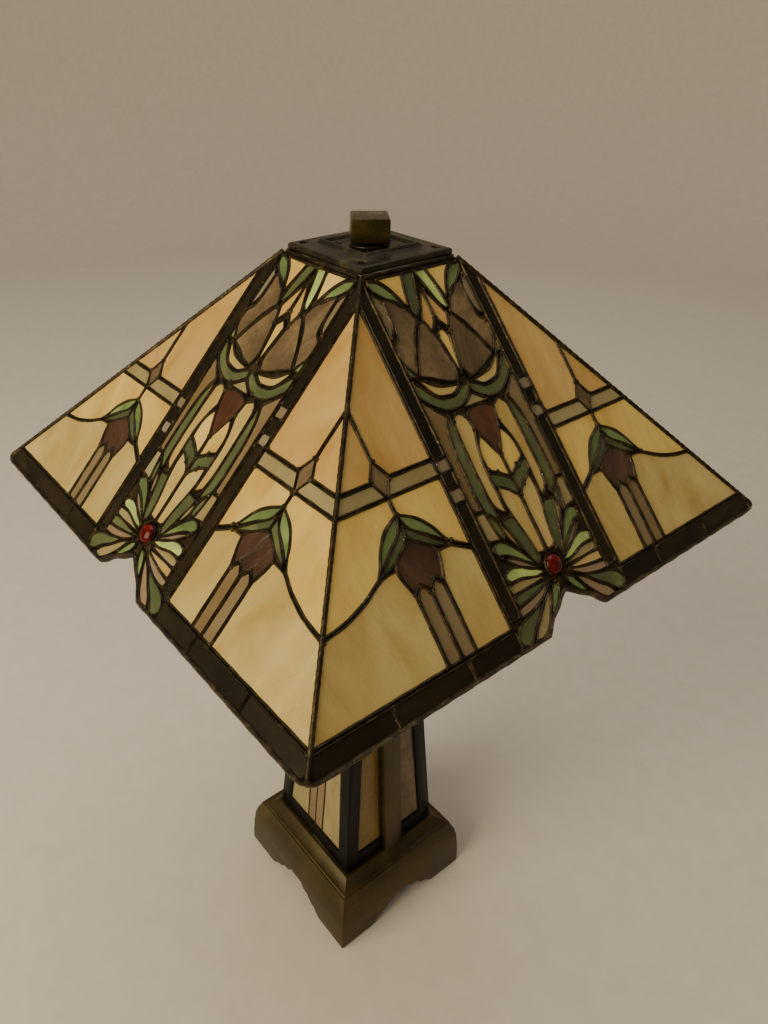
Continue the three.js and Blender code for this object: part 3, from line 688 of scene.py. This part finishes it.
def border_panes():
    """The dark border along the rim, cut in lengths. The last one ends at the cut-back corner."""
    top = BORDER_V + 1.5
    lead = 2
    panes = []
    for start, end in zip(BORDER_SEAMS, [*BORDER_SEAMS[1:], None]):
        if end is None:
            far_side = [(glass_hip(BORDER_V), top), at_hip(FOOT_V - ROUND),
                        (glass_hip(FOOT_V) - ROUND, FOOT_V)]
        else:
            far_side = [(end - lead, top), (end - lead, FOOT_V)]
        panes.append(("black", 2, corners((start, top), *far_side, (start, FOOT_V))))
    return panes


def face_panes():
    """Every pane of one face as (colour, streak, outline) in whole-face coordinates."""
    panes = list(CENTRE_WHOLE)
    for side in (-1, 1):
        half = [*SIDE_PANEL, *CENTRE_HALF, *bar_panes(side), *border_panes()]
        flower = [(0, 157, 1), *FLOWER_SIDE, (0, 184.6, 1), *mirror(FLOWER_SIDE[::-1])]
        half.append(("maroon", 70, [(STEM_U + p[0], *p[1:]) for p in flower]))
        for colour, streak, points in FLOWER_HALF:
            for way in (-1, 1):
                moved = [(STEM_U + way * p[0], *p[1:]) for p in points]
                half.append((colour, streak * way, moved))
        for colour, streak, points in half:
            shade = colour if isinstance(colour, str) else colour[(side + 1) // 2]
            shape = points if side > 0 else mirror(points)
            panes.append((shade, streak * side, shape))
    return panes


def face_place(index):
    return slope_place(index, SHADE_TOP_HALF, SHADE_TOP_Z, SHADE_PITCH)


def rim_line():
    """The lower edge of a face from corner to corner, up round the notch in its middle."""
    inset = 1.4
    half = hip(SLANT) - 1.5
    foot = SLANT - inset
    middle, *right = [(u, v - inset) for u, v in NOTCH]
    corner = [(half - 2 * ROUND, foot), (half - ROUND, foot - 0.6),
              (half - 0.45 * ROUND, foot - 2.2), (half - 0.4 * ROUND, SLANT - 1.2 * ROUND)]
    half_line = smooth_run([right[-1], corner[0]])[:-1] + smooth_run(corner)
    notch = smooth_run([*mirror(right[::-1]), middle, *right])
    return mirror(half_line[::-1])[:-1] + notch[:-1] + half_line


def backing(piece):
    """Thin dark web between the panes, half way through the glass."""
    top, foot, inset = 3, SLANT - 1, 2
    half = [(hip(top) - inset, top), (hip(foot - ROUND) - inset, foot - ROUND),
            (hip(foot) - inset - ROUND, foot), (30, foot), *NOTCH[3:0:-1]]
    line = to_plane([*half, NOTCH[0], *mirror(half[::-1])])
    points = [(x, y, z) for z in (-0.7, -2.3) for x, y in line]
    piece.add(points, loop_ends(len(line)) + loop_walls(len(line)))


def build_face(index, side):
    """The solder of one face and its panes, joined into one piece for each colour."""
    draw = random.Random(FACE_SEED + index)
    place = face_place(index)
    leads = Piece()
    backing(leads)
    colours = {}
    for colour, streak, points in face_panes():
        line, marks = outline(points)
        line = to_plane(line)
        add_pane(colours.setdefault(colour, Piece()), line, draw, streak)
        add_bead(leads, line, True, draw, outset=0.5)
        for u, v in marks:
            if draw.random() < PUDDLE_SHARE:
                add_puddle(leads, (u, -v), draw)
    ring = [(JEWEL_RING * math.cos(t), -JEWEL_V + JEWEL_RING * math.sin(t)) for t in around(36)]
    add_bead(leads, ring, True, draw, width=0.9, height=2.8)
    rim = [(u, -v) for u, v in rim_line()]
    add_bead(leads, rim, False, draw, width=1.8, height=3.2)
    reach = hip(TOP_LEAD_V) - 2.5
    top_lead = smooth_run([(-reach, -TOP_LEAD_V), (reach, -TOP_LEAD_V)])
    add_bead(leads, top_lead, False, draw, width=1.5, height=2.4)
    leads.build(f"solder_{side}", SOLDER, "shade", "lead_came", place, 60, [f"leads_{side}"])
    for colour, piece in colours.items():
        slot = "amber_glass" if colour in ("amber", "cream", "honey") else "flower_glass"
        # one colour of each band stands for the CAD's plain panels
        replaced = {
            "umber": [f"glass_flower_{side}"],
            "amber": [f"glass_gore_{side}_a", f"glass_gore_{side}_b"],
        }.get(colour, [])
        piece.build(f"glass_{colour}_{side}", GLASSES[colour], "shade", slot, place, 30, replaced)


def build_jewel(index, side):
    """The domed jewel of one face."""
    jewel = Piece()
    radius, rise = 6.5, 3.6
    dome = [(radius * math.cos(t), rise * math.sin(t))
            for t in (math.pi / 2 * k / 10 for k in range(10))]
    lathe(jewel, [(0, -GLASS), (5.9, -GLASS), (radius, -GLASS + 0.6), *dome, (0, rise)], 36,
          Matrix.Translation((0, -JEWEL_V, 0)))
    jewel.build(f"red_jewel_{side}", JEWEL, "shade", "jewel_glass", face_place(index), 50,
                [f"jewel_{side}"])


def build_hip(index):
    """The rounded, rippled solder down one corner of the shade."""
    draw = random.Random(HIP_SEED + index)
    top = Vector((SHADE_TOP_HALF, -SHADE_TOP_HALF, SHADE_TOP_Z))
    foot = Vector((SHADE_HALF, -SHADE_HALF, SHADE_RIM_Z))
    along = (foot - top).normalized()
    across = Vector((1, 1, 0)).normalized()
    out = along.cross(across).normalized()
    if out.z < 0:
        out = -out
    start = 5.5
    length = (foot - top).length - 6 - 1.2 * ROUND
    width, height, sink = 1.5, 2.0, 0.3
    rows, sides = 261, 12
    points = []
    for i in range(rows):
        at = start + length * i / (rows - 1)
        swell = 1 + 0.07 * math.sin(i * 1.3) + draw.uniform(-0.04, 0.04)
        for angle in around(sides):
            points.append(top + along * at + across * (width * swell * math.cos(angle))
                          + out * (height * swell * math.sin(angle) - sink))
    piece = Piece()
    piece.add(points, tube_faces(rows, sides))
    piece.build(f"hip_solder_{index + 1}", SOLDER, "shade", "lead_came",
                turned_to(index), 60, [f"hip_lead_{index + 1}"])


for number, name in enumerate(SIDES):
    build_face(number, name)
    build_jewel(number, name)
for number in range(4):
    build_hip(number)


# ---- Metalwork whose CAD shape only needs soft edges ------------------------
def softened(node, material, body, width):
    """A copy of a CAD node with its edges rounded, standing for the node."""
    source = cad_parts[node]
    mesh = source.data.copy()
    work = bmesh.new()
    work.from_mesh(mesh)
    bmesh.ops.remove_doubles(work, verts=work.verts, dist=1e-6)
    bmesh.ops.dissolve_limit(work, angle_limit=math.radians(1.5), verts=work.verts,
                             edges=work.edges)
    edges = [e for e in work.edges if len(e.link_faces) == 2
             and e.calc_face_angle(0) > math.radians(28)]
    bmesh.ops.bevel(work, geom=edges, offset=width * MM, segments=3, profile=0.5,
                    affect="EDGES", clamp_overlap=True)
    work.to_mesh(mesh)
    work.free()
    made = new_object(f"soft_{node}", mesh, material, 40)
    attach(made, body)
    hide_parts(node)


softened("base_casting", BRONZE, "stand", 1.2)
softened("column_top_plate", BRONZE, "stand", 0.8)
softened("column_frame", BLACK, "stand", 1.4)
for name in ("right", "left"):
    softened(f"column_strap_{name}", BRONZE, "stand", 1.2)
softened("shade_cap", CAP_BRONZE, "shade", 0.5)
softened("finial", FINIAL_BRONZE, "finial", 0.7)
for name in ("riser_lock_nut", "bottom_cover"):
    softened(name, STEEL, "stand", 0.3)
for name in ("shade_seat_nut", "cluster_nut"):
    softened(name, BRASS, "stand", 0.4)
softened("shade_seat_washer", BRASS, "shade_seat", 0.3)
softened("finial_washer", CAP_BRONZE, "finial_washer", 0.3)
for number in range(1, 5):
    softened(f"felt_pad_{number}", FELT, "stand", 0.3)
softened("cord_inlet_grommet", RUBBER, "stand", 0.4)


# ---- Column glass -----------------------------------------------------------
COLUMN_LINES = (-11, 0, 11)  # the leads up the panel, from its middle
COLUMN_LEAD = 0.9  # from a lead's middle to the glass beside it
COLUMN_GAP = 0.4  # from the frame to the glass
# The sides' row is painted shade: the same glass as the front and back, given darker caramel, olive
# and umber tones, darkest at the right.
COLUMN_COLOURS_AND_SIDE_SHADE = (  # from left to right, on the front and back and then on the sides
    ("khaki", "straw", "straw", "khaki"),
    ("caramel", "olive", "olive", "umber"),
)


def column_place(index):
    return slope_place(index, COLUMN_FOOT_HALF, COLUMN_Z, COLUMN_PITCH)


def column_edge(lead, way, y):
    """Where a pane ends on one side, at a height y: at a lead, or at the post if there is none."""
    if lead is None:
        return way * (COLUMN_FOOT_HALF - y * math.cos(COLUMN_PITCH) - COLUMN_POST - COLUMN_GAP)
    return lead - way * COLUMN_LEAD


def build_column_glass(index, side):
    draw = random.Random(COLUMN_SEED + index)
    place = column_place(index)
    low = COLUMN_RAIL + COLUMN_GAP
    high = COLUMN_SLANT - COLUMN_RAIL - COLUMN_GAP
    edges = [None, *COLUMN_LINES, None]
    colours, leads = {}, Piece()
    for colour, left, right in zip(COLUMN_COLOURS_AND_SIDE_SHADE[index % 2], edges, edges[1:]):
        line = [(column_edge(left, -1, low), low), (column_edge(right, 1, low), low),
                (column_edge(right, 1, high), high), (column_edge(left, -1, high), high)]
        add_pane(colours.setdefault(colour, Piece()), line, draw, 90, top=-2.0)
    for u in COLUMN_LINES:
        run = smooth_run([(u, low - 1), (u, high + 1)], step=6)
        add_bead(leads, run, False, draw, width=1.3, height=2.2, middle=-3.5)
    replaced = [f"column_glass_{side}"]
    for colour, piece in colours.items():
        piece.build(f"column_{colour}_{side}", GLASSES[colour], "stand", "column_glass", place, 30,
                    replaced)
        replaced = []
    leads.build(f"column_leads_{side}", SOLDER, "stand", "lead_came", place, 60)


def build_foot_glint():
    """A bright sliver of bare metal along the lower edge of the column's front: a painted
    highlight, put there for the glint at the column's foot.
    """
    crescent = [(-2, 1.6, 1), (8, 3.2), (18, 3.5), (33, 1.7, 1), (18, 1.5), (8, 1.3)]
    glint = Piece()
    add_pane(glint, outline(crescent)[0][::-1], random.Random(GLINT_SEED), 0, thickness=0.8,
             top=0.3)
    glint.build("foot_glint", STEEL, "stand", "steel", column_place(0))


for number, name in enumerate(SIDES):
    build_column_glass(number, name)
build_foot_glint()


# ---- Riser, sockets, bulbs and chains ---------------------------------------
RISER_RADIUS = 4.9
RISER_HOLE = 3.2
RISER_Z = (31, 648)
RISER_BORE = 5.3  # of what is slid over the riser
THREAD_PITCH = 1.9
THREAD_DEPTH = 0.35
SLEEVE_Z = (400.6, 480.8)
HUB_Z = (482.2, 507.8)
BULB_AXIS_Z = 495
CHAIN_X = 30
CHAIN_Z = (424, 477)
NIGHT_LIGHT_Y = 24


def pipe(hole, profile):
    """A lathe profile with a hole of one radius through it."""
    low, high = profile[0][1], profile[-1][1]
    return [(hole, low), *profile, (hole, high), (hole, low)]


def build_riser():
    """The hollow riser, with rings for its thread."""
    piece = Piece()
    low, high = RISER_Z
    root = RISER_RADIUS - THREAD_DEPTH
    profile = []
    z = low
    while z < high - THREAD_PITCH:
        profile += [(root, z), (RISER_RADIUS, z + THREAD_PITCH / 2)]
        z += THREAD_PITCH
    lathe(piece, pipe(RISER_HOLE, [*profile, (root, high)]), 20)
    piece.build("threaded_riser", STEEL, "stand", "steel", sharp=80, replaces=["riser_rod"])


def build_sleeve():
    sleeve = Piece()
    low, high = SLEEVE_Z
    lathe(sleeve, pipe(RISER_BORE, [(7.4, low), (7.8, 403), (7.4, 405), (7.0, 408), (7.0, 472),
                                    (7.5, 476), (7.5, high)]), 40)
    sleeve.build("brass_sleeve", BRASS, "stand", "brass", replaces=["riser_sleeve"])


def build_hub():
    """The turned hub of the lamp cluster, with a cross tube that carries the two sockets."""
    hub = Piece()
    low, high = HUB_Z
    lathe(hub, pipe(RISER_BORE, [(12.4, low), (14.6, 484), (15.6, 487.5), (14.6, 489.5),
                                 (16, 491), (16, 499), (14.6, 500.5), (15.6, 502.5),
                                 (13, 507.2), (9, high)]), 48)
    lathe(hub, [(0, -18), (4.8, -18), (4.8, 18), (0, 18)], 24,
          Matrix.Translation((0, 0, BULB_AXIS_Z)) @ LYING)
    hub.build("cluster_hub", BRASS, "stand", "brass", replaces=["cluster_body"])


def build_socket(number, axis):
    """A turned socket with the port that its chain comes out of."""
    socket = Piece()
    lathe(socket, [(0, 18.4), (7.6, 18.4), (8.4, 19), (9, 20.6), (13.4, 22.4), (15.8, 25),
                   (16.6, 29), (16.6, 33), (17, 33.6), (17, 35.4), (16.4, 36.2), (16.4, 50),
                   (17, 51), (17, 53), (16.4, 54), (16.6, 59), (17, 59.6), (16.6, 60),
                   (15.8, 60), (15.8, 36), (0, 36)], 48)
    port = Matrix.Translation((0, 0, CHAIN_X)) @ LYING
    lathe(socket, [(1.7, 14), (3.2, 14), (3.2, 19), (3.8, 20), (3.8, 21.4), (2.6, 22), (1.7, 22),
                   (1.7, 14)], 20, port)
    socket.build(f"brass_socket_{number}", BRASS, "stand", "brass", axis,
                 replaces=[f"socket_{number}"])


def build_bulb(number, axis):
    """A bulb: a ridged metal cap, which is round and not a screw, and its glass."""
    shell = [(4.6, 37.4), (7, 38.4), (12, 40)]
    ridges = [(12.8 - 0.7 * (k % 2), 41 + 1.7 * k) for k in range(11)]
    glass = [(12.9, 60), (13.8, 64.5), (16, 71), (19.2, 79), (22.2, 87), (23.8, 94), (24, 98),
             (23.3, 105), (20.8, 111.6), (16.6, 116.8), (11, 120.4), (5, 122), (0, 122.2)]
    cap = Piece()
    lathe(cap, [*shell, *ridges, (12.9, 60)], 40)
    cap.build(f"bulb_cap_{number}", STEEL, f"bulb_{number}", "steel", axis)
    bulb = Piece()
    lathe(bulb, glass, 48)
    bulb.build(f"bulb_glass_{number}", BULB, f"bulb_{number}", "bulb_glass", axis, 60,
               [f"bulb_{number}"])


def build_chain(number, turn):
    """A bead chain on its cord, with a bell-shaped knob."""
    low, high = CHAIN_Z
    chain = Piece()
    at = turn @ Matrix.Translation((CHAIN_X, 0, 0))
    radius, pitch, inset = 1.15, 3.1, 1.0
    beads = int((high - low) / pitch)
    for k in range(beads + 1):
        z = low + inset + (high - low - 2 * inset) * k / beads
        ball = [(radius * math.sin(t), z - radius * math.cos(t))
                for t in (math.pi * j / 6 for j in range(1, 6))]
        lathe(chain, [(0, z - radius), *ball, (0, z + radius)], 12, at)
    lathe(chain, [(0, low), (0.35, low), (0.35, high - 0.2), (0, high - 0.2)], 8, at)
    chain.build(f"bead_chain_{number}", BRASS, f"pull_chain_{number}", "brass", sharp=70,
                replaces=[f"pull_chain_{number}"])
    knob = Piece()
    lathe(knob, [(0, -12), (2.6, -12), (3.6, -11.4), (4.5, -10.2), (4.3, -8.6), (3.2, -6.4),
                 (2.4, -4.6), (1.6, -3.2), (1.9, -2.2), (1.7, -1), (1.0, -0.4), (0, -0.3)], 28,
          turn @ Matrix.Translation((CHAIN_X, 0, low)))
    knob.build(f"bell_knob_{number}", BRASS, f"pull_chain_{number}", "brass",
               replaces=[f"chain_knob_{number}"])


def build_night_light():
    """The small socket and bulb that stand inside the column, behind the riser."""
    place = Matrix.Translation((0, NIGHT_LIGHT_Y, 0))
    holder = Piece()
    lathe(holder, [(0, 69), (11.6, 69), (12, 69.6), (12, 71.4), (10, 73.6), (9.5, 76), (9.5, 92),
                   (10, 93), (9.5, 94), (9.5, 108.4), (9, 109), (8.2, 109), (8.2, 91), (0, 91)],
          36)
    holder.build("night_socket", PHENOLIC, "stand", "black_plastic", place,
                 replaces=["night_light_socket"])
    bulb = Piece()
    lathe(bulb, [(0, 93), (5.8, 93.6), (6.3, 96), (6.3, 110), (6.6, 113), (8.6, 118.6),
                 (10, 124), (10.5, 129.6), (9.8, 137), (7.8, 144), (5, 150), (2.6, 154),
                 (0, 156)], 36)
    bulb.build("night_bulb", BULB, "stand", "bulb_glass", place, 60, ["night_light_bulb"])


build_riser()
build_sleeve()
build_hub()
for number, quarters in ((1, 0), (2, 2)):
    side_turn = turned_to(quarters)
    bulb_axis = side_turn @ Matrix.Translation((0, 0, BULB_AXIS_Z)) @ LYING
    build_socket(number, bulb_axis)
    build_bulb(number, bulb_axis)
    build_chain(number, side_turn)
build_night_light()


# ---- Floor, lights and camera -----------------------------------------------
def build_floor():
    """A round floor that curves up into a pale wall all round."""
    flat, bend, wall, steps = 2400, 1200, 3200, 24
    curve = [(flat + bend * math.sin(t), bend - bend * math.cos(t))
             for t in (math.pi / 2 * k / steps for k in range(steps + 1))]
    piece = Piece()
    lathe(piece, [(0, 0), *curve, (flat + bend, wall)], 96)
    pale = plain_surface("pale floor", srgb(221, 213, 201), srgb(227, 219, 208), 0.7, 40.0,
                         0.00005)
    floor = new_object("floor", piece.mesh("floor"), pale, 180)


def area_light(name, place, size, power, colour):
    """A soft rectangular light that looks at the middle of the lamp."""
    data = bpy.data.lights.new(name, "AREA")
    data.shape = "RECTANGLE"
    data.size, data.size_y = size
    data.energy = power
    data.color = colour
    lamp = bpy.data.objects.new(name, data)
    lamp.location = place
    aim = LAMP_MIDDLE - place
    lamp.rotation_euler = aim.to_track_quat("-Z", "Y").to_euler()
    bpy.context.scene.collection.objects.link(lamp)


LAMP_MIDDLE = Vector((0, 0, 0.4))
CAMERA_AZIMUTH = math.radians(49.6)
CAMERA_DISTANCE = 0.5274
CAMERA_HEIGHT = 0.7685
CAMERA_YAW, CAMERA_PITCH, CAMERA_ROLL = 0.0425, -0.5558, -0.0029
CAMERA_LENS = 28.08
CAMERA_SHIFT = (0.0488, -0.0146)


def from_camera_side(right, forward, up):
    """A point given from the lamp's axis, as right, away and up seen from the camera."""
    turn = Matrix.Rotation(CAMERA_AZIMUTH, 4, "Z")
    return turn @ Vector((right, forward, up))


def build_camera():
    data = bpy.data.cameras.new("camera")
    data.sensor_width = 36
    data.sensor_fit = "AUTO"
    data.lens = CAMERA_LENS
    data.shift_x, data.shift_y = CAMERA_SHIFT
    camera = bpy.data.objects.new("camera", data)
    turn = (Matrix.Rotation(CAMERA_AZIMUTH + CAMERA_YAW, 4, "Z")
            @ Matrix.Rotation(CAMERA_PITCH, 4, "X") @ Matrix.Rotation(CAMERA_ROLL, 4, "Y"))
    # a Blender camera looks along its own -Z, with Y up
    level = Matrix.Rotation(math.pi / 2, 4, "X")
    place = from_camera_side(0, -CAMERA_DISTANCE, CAMERA_HEIGHT)
    camera.matrix_world = Matrix.Translation(place) @ turn @ level
    bpy.context.scene.collection.objects.link(camera)
    bpy.context.scene.camera = camera


def build_world():
    world = bpy.data.worlds.new("room")
    world.use_nodes = True
    background = world.node_tree.nodes["Background"]
    background.inputs["Color"].default_value = (1.0, 0.95, 0.86, 1)
    background.inputs["Strength"].default_value = 0.25
    bpy.context.scene.world = world


build_floor()
area_light("window", from_camera_side(-1.5, -1.2, 1.4), size=(1.6, 1.6), power=47,
           colour=(1.0, 0.865, 0.6))
area_light("ceiling", from_camera_side(0.0, 0.6, 2.4), size=(2.0, 1.6), power=15,
           colour=(1.0, 0.93, 0.8))
build_camera()
build_world()
